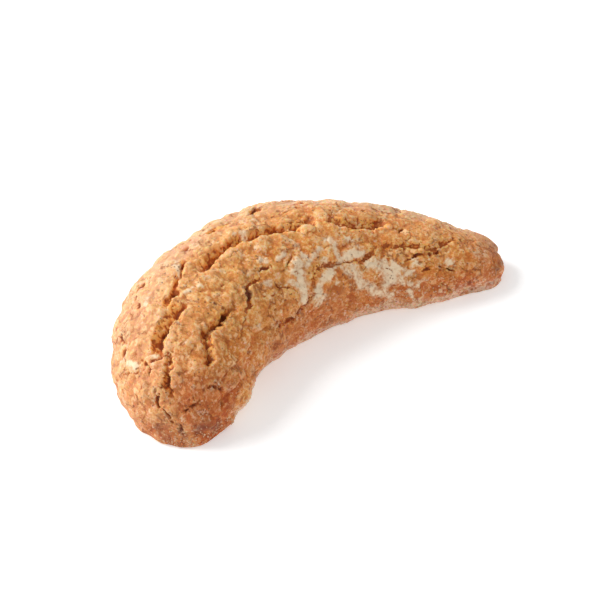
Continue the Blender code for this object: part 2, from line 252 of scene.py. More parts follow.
# Pale strokes on the skin, of flour and of nut: (route, width, how pale)
FLOUR = (
    (((0.497, 0.670), (0.493, 0.712), (0.491, 0.737), (0.483, 0.800)), 2.3, 1.0),
    (((0.472, 0.690), (0.493, 0.712)), 1.5, 0.8),
    (((0.520, 0.692), (0.547, 0.669), (0.573, 0.646)), 1.4, 0.8),
    (((0.525, 0.650), (0.531, 0.656)), 1.3, 1.0),
    (((0.577, 0.692), (0.587, 0.701)), 1.6, 0.6),
    (((0.513, 0.590), (0.521, 0.607)), 1.5, 0.6),
    (((0.600, 0.615), (0.617, 0.629), (0.617, 0.690)), 1.5, 0.9),
    (((0.620, 0.702), (0.647, 0.684), (0.675, 0.680)), 1.7, 1.0),
    (((0.638, 0.647), (0.676, 0.649)), 1.0, 0.6),
    (((0.650, 0.620), (0.666, 0.628)), 0.9, 0.8),
    (((0.679, 0.658), (0.687, 0.682)), 1.1, 0.8),
    (((0.600, 0.722), (0.575, 0.745), (0.555, 0.757), (0.525, 0.806)), 1.8, 0.9),
    (((0.603, 0.730), (0.599, 0.780)), 1.1, 0.6),
    (((0.625, 0.730), (0.643, 0.766)), 1.4, 0.7),
    (((0.645, 0.725), (0.657, 0.767), (0.667, 0.812)), 1.8, 0.9),
    (((0.690, 0.727), (0.722, 0.741)), 1.9, 0.9),
    (((0.727, 0.744), (0.745, 0.772), (0.749, 0.812)), 3.2, 1.0),
    (((0.731, 0.710), (0.741, 0.719)), 1.2, 0.9),
    (((0.754, 0.729), (0.768, 0.752)), 1.4, 1.0),
    (((0.776, 0.757), (0.782, 0.766)), 1.1, 0.8),
    (((0.768, 0.787), (0.774, 0.796)), 1.1, 0.8),
    (((0.786, 0.786), (0.804, 0.772)), 1.1, 0.9),
    (((0.772, 0.813), (0.780, 0.824)), 1.2, 0.9),
    (((0.792, 0.828), (0.800, 0.837)), 1.2, 0.8),
    (((0.790, 0.875), (0.798, 0.892)), 1.2, 0.9),
    (((0.810, 0.847), (0.820, 0.830)), 1.0, 0.7),
    (((0.686, 0.823), (0.701, 0.845), (0.720, 0.876)), 2.2, 0.8),
    (((0.727, 0.833), (0.758, 0.829)), 1.3, 0.8),
    (((0.750, 0.880), (0.745, 0.925)), 1.2, 0.8),
    (((0.730, 0.852), (0.734, 0.875)), 1.0, 0.8),
    (((0.522, 0.836), (0.550, 0.812)), 1.5, 0.7),
    (((0.455, 0.718), (0.467, 0.737)), 1.4, 0.9),
    (((0.461, 0.633), (0.480, 0.628)), 1.3, 0.9),
    (((0.417, 0.610), (0.422, 0.622)), 1.5, 0.9),
    (((0.384, 0.678), (0.387, 0.693)), 1.4, 1.0),
    (((0.123, 0.258), (0.110, 0.284)), 1.4, 0.95),
    (((0.804, 0.705), (0.814, 0.732)), 1.3, 0.6),
    (((0.443, 0.480), (0.432, 0.519)), 1.2, 0.8),
    (((0.317, 0.386), (0.279, 0.436)), 1.0, 0.7),
    (((0.242, 0.478), (0.263, 0.508)), 1.2, 0.6),
    (((0.218, 0.345), (0.232, 0.340)), 1.3, 0.7),
    (((0.093, 0.355), (0.120, 0.400)), 1.0, 0.4),
    (((0.130, 0.060), (0.085, 0.125)), 0.9, 0.4),
    (((0.880, 0.700), (0.890, 0.715)), 1.2, 0.7),
    (((0.945, 0.620), (0.960, 0.640)), 1.8, 0.5),
)
# Dark, burnt strokes, as above
BURNT = (
    (((0.320, 0.640), (0.323, 0.664), (0.305, 0.676)), 0.8, 1.3),
    (((0.343, 0.434), (0.355, 0.450)), 0.7, 0.7),
    (((0.357, 0.580), (0.352, 0.606)), 0.8, 0.8),
    (((0.030, 0.155), (0.020, 0.080)), 2.0, 0.7),
    (((0.112, 0.748), (0.102, 0.785)), 0.8, 0.7),
    (((0.004, 0.560), (0.010, 0.840)), 2.4, 0.8),
    (((0.012, 0.300), (0.004, 0.225)), 1.2, 0.8),
    (((0.985, 0.350), (0.992, 0.500), (0.985, 0.700)), 2.2, 0.5),
)
FLOUR_HEIGHT = 0.06
STROKE_WANDERS = ((1.3, 0.35), (0.5, 0.22))
STROKE_EDGE = 0.85
SMOOTH_SPOT = (0.59, 0.81, 0.045, 0.045)  # a smooth amber bulge of melted sugar: place and reaches

# Loose bits: how many, and their radii
SUGAR_GRAINS = 360
SUGAR_RADII = (0.08, 0.19)
LOOSE_CRUMBS = 150
LOOSE_RADII = (0.10, 0.24)

# Seeds of what is strewn, so that each run gives the same
NOISE_SEED = 5
COARSE_SEED = 3
CRACK_SEED = 11
CRACK_EDGE_SEED = 12
PIT_EDGE_SEED = 13
STROKE_EDGE_SEED = 14
FILL_SEED = 15
CRACK_WIDTH_SEED = 16
PORE_SEED = 21
CRUMB_SEEDS = (41, 42)
SUGAR_SEEDS = (43, 44)

# ---- The room ----

LOOK_FROM_MIDDLE = (3.836, -2.637)
CAMERA_AZIMUTH = 38.0
CAMERA_ELEVATION = 40.0
CAMERA_DISTANCE = 445.2
CAMERA_LENS = 168.0
CAMERA_SENSOR = 36.0
SKY = 0.60
KEY_DIRECTION = (-0.46, 0.62, 0.63)
KEY_DISTANCE = 1.0
KEY_SIZE = 0.5
KEY_POWER = 9.0
FLOOR_GLOW = 0.29
FLOOR_SIZE = 4.0
FLOOR_WHITE = 0.92
FLOOR_GAP = 0.02  # below the cookie, so that the two never share a plane


def profile(values, along):
    """A smooth curve through values at even steps from 0 to 1."""
    values = np.asarray(values, float)
    stations = np.linspace(0, 1, len(values))
    slopes = np.gradient(values, stations)
    left = np.clip(np.searchsorted(stations, along, side="right") - 1, 0, len(values) - 2)
    step = stations[1]
    t = (along - stations[left]) / step
    return (
        (2 * t**3 - 3 * t**2 + 1) * values[left]
        + (t**3 - 2 * t**2 + t) * step * slopes[left]
        + (3 * t**2 - 2 * t**3) * values[left + 1]
        + (t**3 - t**2) * step * slopes[left + 1]
    )


def spine(along):
    """The spine's x and y and its heading, by adding up short steps from the left tip."""
    share = np.linspace(0, 1, SPINE_STEPS + 1)
    step = SPINE_LENGTH / SPINE_STEPS
    heading = np.radians(profile(SPINE_HEADINGS, share))
    middle = (heading[1:] + heading[:-1]) / 2
    x = np.concatenate([[0], np.cumsum(np.cos(middle))]) * step
    y = np.concatenate([[0], np.cumsum(np.sin(middle))]) * step
    x += SPINE_MIDDLE[0] - x[SPINE_STEPS // 2]
    y += SPINE_MIDDLE[1] - y[SPINE_STEPS // 2]
    return np.interp(along, share, x), np.interp(along, share, y), np.interp(along, share, heading)


def cap_scale(along):
    """The share of its full width that the section keeps in a horn's rounded end."""
    scale = np.ones_like(along)
    for share, length in zip((along, 1 - along), HORN_CAPS):
        inward = np.clip(share * SPINE_LENGTH / length, 0, 1)
        scale = scale * np.sqrt(1 - (1 - inward) ** 2)
    return scale


def section(across):
    """The section's outline from outer foot to inner foot: sideways from 1 to -1, and height from 0 to 1."""
    foot = np.clip(np.minimum(across, 1 - across) / FOOT_SHARE, 0, 1)
    angle = np.clip((across - FOOT_SHARE) / (1 - 2 * FOOT_SHARE), 0, 1) * math.pi
    sideways = np.cos(angle) * (1 - FOOT_TUCK * (1 - foot) ** 2)
    height = WIDEST_AT * foot + (1 - WIDEST_AT) * np.sin(angle)
    return sideways, height


def skin(along, across):
    """Points on the smooth skin."""
    sideways, height = section(across)
    x, y, heading = spine(along)
    cap = cap_scale(along)
    outer = profile(OUTER_HALF_WIDTHS, along)
    inner = profile(INNER_HALF_WIDTHS, along)
    reach = np.where(sideways > 0, outer, inner) * sideways * cap
    rise = HEIGHT_TO_WIDTH * (outer + inner) * cap**HORN_DROP * height
    return np.stack([x - np.sin(heading) * reach, y + np.cos(heading) * reach, rise], axis=-1)


def smooth_step(t):
    t = np.clip(t, 0, 1)
    return t * t * (3 - 2 * t)


def fade(values, start, end):
    """0 at the start, 1 at the end, and smooth between them."""
    return smooth_step((values - start) / (end - start))


def shifted(points, size, seed):
    """The points in cells of that size, shifted by a seed."""
    return [Vector(p) for p in points / size + np.array([17.3, 5.9, 11.1]) * seed]


def noise_at(points, size, seed=0):
    """Soft noise, from about -1 to 1, in patches of that size."""
    return np.array([noise.noise(p) for p in shifted(points, size, seed)])


def vectors_at(points, size, seed=0):
    return np.array([noise.noise_vector(p) for p in shifted(points, size, seed)])


def cells_at(points, size, seed=0):
    """Distances, in cells, to the nearest and the second nearest of centres strewn at that spacing."""
    return np.array([noise.voronoi(p)[0][:2] for p in shifted(points, size, seed)]).T


def grit_at(points, size, seed=0):
    return np.array([noise.fractal(p, 0.8, 2.1, 4) for p in shifted(points, size, seed)])


# ---- The crust's grid ----


def block_grid():
    """A block with corners at -1 and 1, cut into cells, whose underside is one face.

    On the block's ends, the rim of the underside runs along the diagonals to the middle.
    """
    bm = bmesh.new()
    bmesh.ops.create_cube(bm, size=2)
    for axis, cells in enumerate(CELLS):
        edges = [e for e in bm.edges if abs(e.verts[0].co[axis] - e.verts[1].co[axis]) > 1]
        bmesh.ops.subdivide_edges(bm, edges=edges, cuts=cells - 1, use_grid_fill=True)
    slack = 0.5 / max(CELLS)
    for cell in list(bm.faces):
        above = [loop for loop in cell.loops if -loop.vert.co.z < abs(loop.vert.co.y) - slack]
        if len(above) == 1:
            bmesh.utils.face_split(cell, above[0].link_loop_prev.vert, above[0].link_loop_next.vert)
    inside = [v for v in bm.verts if -v.co.z > abs(v.co.y) + slack]
    bmesh.ops.delete(bm, geom=inside, context="VERTS")
    bmesh.ops.holes_fill(bm, edges=[e for e in bm.edges if e.is_boundary], sides=0)
    bmesh.ops.recalc_face_normals(bm, faces=bm.faces)
    return bm


def block_places(block):
    """Where each vertex of the block lies on the skin: along and across."""
    x, y, z = block.T
    ring = np.maximum(np.abs(y), np.abs(z))
    on_end = np.abs(x) > FACE_AT
    spread = np.where(on_end & (ring > 0), ring, 1)
    y, z = y / spread, z / spread
    widest = math.sqrt(1 - (1 - CAP_GRID_AT) ** 2)
    inward = 1 - np.sqrt(1 - (np.where(on_end, ring, 1) * widest) ** 2)
    from_left = inward * HORN_CAPS[0] / SPINE_LENGTH
    from_right = inward * HORN_CAPS[1] / SPINE_LENGTH
    along = from_left + (1 - from_left - from_right) * (x + 1) / 2
    side = (z + 1) / 6
    top = 1 / 3 + (1 - y) / 6
    across = np.select([y > FACE_AT, y < -FACE_AT], [side, 1 - side], top)
    return along, across


def read_points(mesh):
    points = np.empty(len(mesh.vertices) * 3, np.float32)
    mesh.vertices.foreach_get("co", points)
    return points.reshape(-1, 3).astype(float)


def read_normals(mesh):
    normals = np.empty(len(mesh.vertices) * 3, np.float32)
    mesh.vertex_normals.foreach_get("vector", normals)
    return normals.reshape(-1, 3).astype(float)


def normals_at(mesh, points):
    """The mesh's normals when its vertices are at those points."""
    mesh.vertices.foreach_set("co", points.astype(np.float32).ravel())
    mesh.update()
    return read_normals(mesh)


# ---- Relief that the solid has too, here with sharper edges ----


def route_points(route, spacing=ROUTE_SPACING):
    """Points along a route on the skin, closely spaced, and each one's share of the way."""
    route = np.array(route)
    fine = np.linspace(0, 1, ROUTE_STEPS)
    points = skin(profile(route[:, 0], fine), profile(route[:, 1], fine))
    run = np.concatenate([[0], np.cumsum(np.linalg.norm(np.diff(points, axis=0), axis=1))])
    even = np.linspace(0, run[-1], int(run[-1] / spacing) + 2)
    return np.stack([np.interp(even, run, points[:, i]) for i in range(3)], axis=1), even / run[-1]


def near_route(points, path, reach):
    """The points near a path, and for each the nearest place on the path and the gap to it."""
    low, high = path.min(axis=0) - reach, path.max(axis=0) + reach
    close = np.flatnonzero(((points > low) & (points < high)).all(axis=1))
    gaps = np.linalg.norm(points[close, None] - path[None], axis=2)
    nearest = gaps.argmin(axis=1)
    return close, nearest, gaps[np.arange(len(close)), nearest]


def strayed_by(points, wanders, seed):
    """The points moved a little at random, so that what is drawn near a path gets ragged edges."""
    return points + sum(reach * vectors_at(points, size, seed) for size, reach in wanders)


def bulges(points):
    rise = np.zeros(len(points))
    for along, across, radius, height in BULGES:
        centre = skin(np.array([along]), np.array([across]))
        rise += height * smooth_step(1 - np.linalg.norm(points - centre, axis=1) / radius)
    return rise


def fissures(points, normals, masks):
    """How far each point rises and leans by the fissures. Marks what is torn or a ragged lip, and the deep
    bottoms, which the crust's material paints with shade.
    """
    rise = np.zeros(len(points))
    lean = np.zeros_like(points)
    strayed = strayed_by(points, WANDERS, 0)
    for route, width, depth, lip in FISSURES:
        path, share = route_points(route)
        close, nearest, gap = near_route(strayed, path, width + LIP_REACH)
        away = strayed[close] - path[nearest]
        ahead = path[np.minimum(nearest + 1, len(path) - 1)] - path[np.maximum(nearest - 1, 0)]
        on_inner = np.einsum("ij,ij->i", np.cross(ahead, normals[close]), away) > 0
        opening = np.sqrt(np.clip(np.minimum(share, 1 - share) / FISSURE_TAPER, 0, 1))[nearest]
        half = np.where(on_inner, INNER_WALL, 1 - INNER_WALL) * width
        half *= NARROWING if width < NARROW_BELOW else 1
        inward = 1 - gap / half
        rise[close] -= depth * opening * smooth_step(WALL_STEEPNESS * inward)
        rise[close] += LIP_SHARE * on_inner * lip * opening * smooth_step(1 - np.abs(gap - half) / LIP_REACH)
        fill = np.clip(0.15 + FILL_SHARE * noise_at(path, FILL_SIZE, FILL_SEED), 0, 0.6)[nearest]
        rise[close] += depth * fill * opening * smooth_step(2 * inward - 0.3)
        hang = on_inner * opening * smooth_step(1 - np.abs(gap - LEAN_AT * half) / LEAN_REACH)
        lean[close] -= (LEAN * depth / 2 * hang / (gap + 0.05))[:, None] * away
        torn = opening * smooth_step(3 * inward)
        deep = min(1.0, depth / 1.2) * opening * (1 - fill) * smooth_step(2.0 * inward - 0.9)
        ragged = opening * smooth_step(1.3 - np.abs(gap - half) / LIP_REACH) * min(1, depth)
        masks["lip"][close] = np.maximum(masks["lip"][close], ragged)
        masks["torn"][close] = np.maximum(masks["torn"][close], torn)
        masks["deep"][close] = np.maximum(masks["deep"][close], deep)
    return rise, lean


def crackle(points):
    p = points / CRACKLE_CELL
    p = p * np.array([CRACKLE_STRETCH, 1, 1]) + CRACKLE_BEND * vectors_at(p, 1.0)
    near, second = cells_at(p, 1.0)
    seam = np.maximum(0, 1 - (second - near) / CRACKLE_SEAM)
    return -CRACKLE_DEPTH * seam * np.clip(0.5 + noise_at(points, CRACKLE_PATCHES), 0, 1)


def lumps(points):
    near, _ = cells_at(points, LUMP_CELL)
    return LUMP_HEIGHT * (np.maximum(0, 1 - (near / LUMP_REACH) ** 2) - LUMP_MEAN)


def swell(points):
    return SWELL_HEIGHT * noise_at(points, SWELL_SIZE) + GRAIN_HEIGHT * noise_at(points, GRAIN_SIZE)


# ---- Finer relief ----


def grains(points, spacing, seed):
    """Grains strewn at that spacing: how high each point lies on its grain, and the grain's own lot."""
    heights, lots = [], []
    for p in shifted(points, spacing, seed):
        p = p + GRAIN_WARP * noise.noise_vector(2 * p)
        distances, centres = noise.voronoi(p)
        lot = abs(math.sin(centres[0].dot(LOT_MIX)) * 43758.5) % 1
        gap = min(1.0, (distances[1] - distances[0]) / GRAIN_GAP)
        heights.append(gap * (2 - gap) * (0.35 + 0.65 * lot) * (1 - 0.5 * distances[0]))
        lots.append(lot * gap)
    return np.array(heights), np.array(lots)


def granular(points, masks):
    """Grains of dough and nut: low on the crust, and coarse where it is torn open."""
    torn, coarse = masks["torn"], masks["coarse"]
    rise = (GRIT_HEIGHTS[0] + (GRIT_HEIGHTS[1] - GRIT_HEIGHTS[0]) * torn) * grit_at(points, GRIT_SIZE)
    for seed, (spacing, on_smooth, on_coarse, where_torn) in enumerate(GRAINS, 1):
        height, lot = grains(points, spacing, seed)
        reach = on_smooth + (on_coarse - on_smooth) * coarse
        reach += (where_torn - reach) * torn
        rise += reach * (height - GRAIN_MEAN)
        masks["grain"] += lot / len(GRAINS)
        if spacing == BIT_SPACING:
            masks["bit"] = smooth_step((lot - BIT_SHARE) / 0.1)
    return rise


def stray_route(draw):
    """A short crooked route that runs mostly along the cookie."""
    along, across = draw.uniform(*STRAY_ALONG), draw.uniform(*STRAY_ACROSS)
    length = draw.uniform(*STRAY_LENGTHS)
    slant = draw.uniform(-0.5, 0.5)
    route = []
    for bend in range(STRAY_BENDS):
        t = bend / (STRAY_BENDS - 1)
        route.append((along + length * t, across + length * (slant * t + draw.uniform(-0.25, 0.25))))
    return route


def cracks(points, masks):
    """How far each point sinks by the fine cracks, named and stray. Marks their insides, which the crust's
    material paints with shade.
    """
    draw = random.Random(CRACK_SEED)
    strayed = strayed_by(points, CRACK_WANDERS, CRACK_EDGE_SEED)
    lines = list(CRACKS)
    for _ in range(STRAY_CRACKS):
        lines.append((stray_route(draw), draw.uniform(*STRAY_WIDTHS), draw.uniform(*STRAY_DEPTHS)))
    size, reach = CRACK_UNEVENNESS
    rise = np.zeros(len(points))
    for route, width, depth in lines:
        path, share = route_points(route)
        close, nearest, gap = near_route(strayed, path, width)
        opening = np.sqrt(np.clip(np.minimum(share, 1 - share) / CRACK_TAPER, 0, 1))[nearest]
        swelling = np.clip(0.75 + reach * noise_at(path, size, CRACK_WIDTH_SEED), 0.4, 1.1)[nearest]
        inside = opening * smooth_step(1.5 - 3 * gap / (swelling * width))
        rise[close] = np.minimum(rise[close], -depth * inside)
        masks["deep"][close] = np.maximum(masks["deep"][close], min(1, depth / 0.45) * inside)
    return rise


def dents(points, along, across, masks):
    """Named pits and strewn pores, all with ragged edges. The crust's material paints shade inside them,
    darkest in the pits.
    """
    draw = random.Random(PORE_SEED)
    strayed = strayed_by(points, CRACK_WANDERS, PIT_EDGE_SEED)
    tree = KDTree(len(strayed))
    for index, point in enumerate(strayed):
        tree.insert(point, index)
    tree.balance()
    spots = []
    for place, beside, radius, depth in PITS:
        away = np.hypot((along - place) * SPINE_LENGTH, (across - beside) * SECTION_LENGTH)
        spots.append((strayed[away.argmin()], radius, depth, "deep"))
    for _ in range(PORES):
        radius = PORE_RADII[0] + (PORE_RADII[1] - PORE_RADII[0]) * draw.random() ** 3
        spots.append((strayed[draw.randrange(len(points))], radius, PORE_DEPTH * radius, "pore_shade"))
    rise = np.zeros(len(points))
    for centre, radius, depth, mask in spots:
        for _, index, gap in tree.find_range(centre, radius):
            inside = 1 - (gap / radius) ** 2
            rise[index] = min(rise[index], -depth * inside)
            masks[mask][index] = max(masks[mask][index], inside)
    return rise


def strokes(points, table):
    """How far inside a table's strokes each point lies, by how strong each stroke is."""
    strayed = strayed_by(points, STROKE_WANDERS, STROKE_EDGE_SEED)
    inside = np.zeros(len(points))
    for route, width, strength in table:
        path, _ = route_points(route)
        close, _, gap = near_route(strayed, path, width)
        inside[close] = np.maximum(inside[close], strength * smooth_step(STROKE_EDGE - gap / width))
    return inside


def patch(along, across, spot):
    """1 in the middle of a spot on the skin, 0 at its reach, and below 0 outside."""
    return 1 - np.hypot((along - spot[0]) / spot[2], (across - spot[1]) / spot[3])


def coarseness(along, across, points):
    """How coarse the grains are: most on the upper middle of the log, and least low on the outer side."""
    middle = fade(along, 0.08, 0.16) * fade(along, 0.66, 0.46)
    upper = fade(across, 0.36, 0.46) * fade(across, 0.82, 0.70)
    coarse = 0.3 + 0.5 * middle * upper + 0.7 * noise_at(points, COARSE_SIZE, COARSE_SEED)
    return np.clip(coarse, 0, 1) * fade(across, 0.12, 0.32)


def browning_and_painted_light(along, across, points, masks):
    """Where the crust is toasted, and on the inner slope, which faces away from the lamp, darker by painted
    shade; where dust lies near the tray, paler also by painted light bounced from it; and where the outer
    slope and crest, which face the lamp, are paler by painted sheen.
    """
    low_inside = fade(across, 0.78, 0.88)
    at_left = fade(along, 0.32, 0.12) * low_inside
    behind = fade(along, 0.15, 0.35) * fade(across, 0.24, 0.04)

    tips = 0.9 * fade(along, 0.10, 0) + 0.35 * fade(along, 0.35, 0)
    tips *= 0.35 + 0.65 * fade(across, 0.3, 0.5)
    tips *= 1 - 0.9 * low_inside * fade(along, 0.02, 0.06)
    tips += 0.65 * fade(along, 0.84, 1)
    # Partly painted shade: the inner slope, which faces away from the lamp, is toasted darker.
    inner = fade(across, 0.70, 0.90) * (1 - at_left)
    outer = fade(across, 0.30, 0.05)
    masks["toast_and_shade"] = np.clip(tips + 0.75 * inner + 0.4 * outer + 0.6 * behind, 0, 1)

    # Dust on the inner foot near the tray, which also stands in for painted light bounced up from the tray.
    foot = fade(points[:, 2], 4.0, 0) * fade(along, 0.01, 0.08)
    frosted = fade(np.abs(along - 0.78), 0.169, 0.039)
    masks["dust_and_bounce_light"] = foot * fade(across, 0.70, 0.86) * (0.6 + 0.15 * frosted + 0.6 * at_left)

    # Painted sheen: the outer slope and the crest, which face the lamp, are made paler.
    crest = fade(across, 0.47, 0.37) * fade(along, 0, 0.4)
    masks["painted_sheen"] = (0.7 * fade(across, 0.75, 0.25) + 1.2 * crest) * (1 - 0.9 * behind)


def paint(along, across, smooth, points, masks):
    """All masks that follow the place on the skin."""
    masks["flour"] = strokes(smooth, FLOUR)
    masks["burnt"] = strokes(smooth, BURNT)
    masks["melted"] = smooth_step(1.5 * patch(along, across, SMOOTH_SPOT))
    masks["coarse"] = coarseness(along, across, points) + 0.7 * masks["lip"]
    browning_and_painted_light(along, across, points, masks)


def averaged(values, edges, passes=1):
    """Values averaged with their neighbours' over and over."""
    count = len(values)
    a, b = np.concatenate([edges, edges[:, ::-1]]).T
    shares = np.bincount(a, minlength=count)[:, None]
    for _ in range(passes):
        values = np.stack([np.bincount(a, column[b], count) for column in values.T], axis=1) / shares
    return values


def read_edges(mesh):
    edges = np.empty(len(mesh.edges) * 2, np.int32)
    mesh.edges.foreach_get("vertices", edges)
    return edges.reshape(-1, 2)


def evened(mesh, points, edges, freedom):
    """The points after sliding along the surface, so that steep walls get as many as flat skin."""
    for _ in range(EVENING_PASSES):
        normals = normals_at(mesh, points)
        slide = averaged(points, edges) - points
        slide -= normals * np.einsum("ij,ij->i", slide, normals)[:, None]
        points = points + EVENING_SHARE * freedom[:, None] * slide
    return points


def mark_hollows(points, normals, edges, masks):
    """How far each point stands out from its surroundings, fine and broad. The crust's material uses it to
    paint shade into the hollows and paler highlights onto what stands out.
    """
    out = np.zeros(len(points))
    for passes, reach in HOLLOWS:
        away = points - averaged(points, edges, passes)
        out += np.einsum("ij,ij->i", away, normals) / reach
    masks["relief"] = np.clip(0.5 + HOLLOW_CONTRAST * out, 0, 1)


def lay_uvs(mesh, block, along, across):
    """A map with even scale for baking: the skin, the underside and the two ends side by side."""
    loops = np.empty(len(mesh.loops), np.int32)
    mesh.loops.foreach_get("vertex_index", loops)
    starts = np.empty(len(mesh.polygons), np.int32)
    mesh.polygons.foreach_get("loop_start", starts)
    totals = np.empty(len(mesh.polygons), np.int32)
    mesh.polygons.foreach_get("loop_total", totals)
    face_of = np.repeat(np.arange(len(starts)), totals)
    on_end = np.abs(block[:, 0]) > FACE_AT
    whole_on_end = np.minimum.reduceat(on_end[loops], starts)[face_of]
    underside = (totals > 4)[face_of]
    points = read_points(mesh)[loops] / MM
    u = along[loops] * (SPINE_LENGTH + 2) + 1
    v = across[loops] * SKIN_HEIGHT + 1
    end_u = END_AT_U + END_HALF_SIZE * block[loops, 1]
    end_v = np.where(block[loops, 0] > 0, RIGHT_END_AT_V, LEFT_END_AT_V) + END_HALF_SIZE * block[loops, 2]
    u = np.select([underside, whole_on_end], [points[:, 0] + UNDERSIDE_AT[0], end_u], u)
    v = np.select([underside, whole_on_end], [points[:, 1] + UNDERSIDE_AT[1], end_v], v)
    layer = mesh.uv_layers.new(name="OFBake")
    layer.data.foreach_set("uv", (np.stack([u, v], axis=1) / SHEET_SIZE).astype(np.float32).ravel())


def mark_underside(mesh):
    """The underside's one face is flat, and marked for its own colour."""
    layer = mesh.attributes.new("underside", "FLOAT", "FACE")
    for face in mesh.polygons:
        if len(face.vertices) > 4:
            face.use_smooth = False
            layer.data[face.index].value = 1


def laid_down(points, rim):
    """The points with the rim on the tray and the rest just above it."""
    points[:, 2] = np.where(rim, 0, np.maximum(points[:, 2], LOWEST_SKIN))
    return points


def crust():
    """The cookie itself: its mesh, its points and normals, their places on the skin, and its masks."""
    bm = block_grid()
    mesh = bpy.data.meshes.new("crescent_crust")
    bm.to_mesh(mesh)
    bm.free()
    block = read_points(mesh)
    along, across = block_places(block)
    edges = read_edges(mesh)
    rim = -block[:, 2] > np.abs(block[:, 1]) - 0.5 / max(CELLS)
    masks = {name: np.zeros(len(block)) for name in MASKS}

    smooth = skin(along, across)
    normals = normals_at(mesh, smooth)
    rise, lean = fissures(smooth, normals, masks)
    rise += bulges(smooth) + swell(smooth) + crackle(smooth) + lumps(smooth)
    points = laid_down(smooth + normals * rise[:, None] + lean, rim)
    freedom = np.where(rim, 0, averaged(masks["torn"][:, None], edges, 6)[:, 0])
    points = evened(mesh, points, edges, freedom)

    paint(along, across, smooth, points, masks)
    normals = normals_at(mesh, points)
    rough = 1 - 0.8 * masks["melted"]
    rise = rough * granular(points, masks) + FLOUR_HEIGHT * np.minimum(1, masks["flour"])
    rise += cracks(smooth, masks) + rough * dents(points, along, across, masks)
    rise = np.where(rim, RIM_SHARE * rise, rise)
    points = laid_down(points + normals * rise[:, None], rim)
    mark_hollows(points, normals, edges, masks)

    mesh.vertices.foreach_set("co", (points * MM).astype(np.float32).ravel())
    for name, values in masks.items():
        layer = mesh.attributes.new(name, "FLOAT", "POINT")
        layer.data.foreach_set("value", values.astype(np.float32))
    lay_uvs(mesh, block, along, across)
    mesh.shade_smooth()
    mark_underside(mesh)
    mesh.update()
    return SimpleNamespace(
        mesh=mesh, points=points, normals=read_normals(mesh), along=along, across=across, masks=masks
    )


# ---- Loose bits ----


def bit_shape(roundness):
    """A small lump's points and faces, about 1 in radius."""
    bm = bmesh.new()
    bmesh.ops.create_icosphere(bm, subdivisions=roundness, radius=1)
    points = np.array([v.co for v in bm.verts])
    faces = np.array([[v.index for v in f.verts] for f in bm.faces])
    bm.free()
    return points, faces


def strew(name, places, normals, radii, roundness, jag, sink, seed):
    """One joined mesh of lumps at those places, each one turned and made uneven at random."""
    draw = np.random.default_rng(seed)
    shape, faces = bit_shape(roundness)
    low, high = radii
    points, polygons = [], []
    for number, (place, normal) in enumerate(zip(places, normals)):
        radius = low + (high - low) * draw.random() ** 2
        turn, _ = np.linalg.qr(draw.normal(size=(3, 3)))
        stretch = draw.uniform(0.65, 1.25, 3)
        lump = (shape * (1 + jag * draw.normal(size=(len(shape), 1))) * stretch) @ turn * radius
        points.append(lump + place + normal * radius * (1 - sink))
        polygons.append(faces + number * len(shape))
    points = np.concatenate(points)
    points[:, 2] = np.maximum(points[:, 2], LOWEST_SKIN)
    mesh = bpy.data.meshes.new(name)
    mesh.from_pydata((points * MM).tolist(), [], np.concatenate(polygons).tolist())
    mesh.update()
    return mesh


def chosen(weights, count, seed):
    """Vertices picked at random by weight."""
    draw = np.random.default_rng(seed)
    return draw.choice(len(weights), size=count, replace=False, p=weights / weights.sum())


# ---- Materials ----


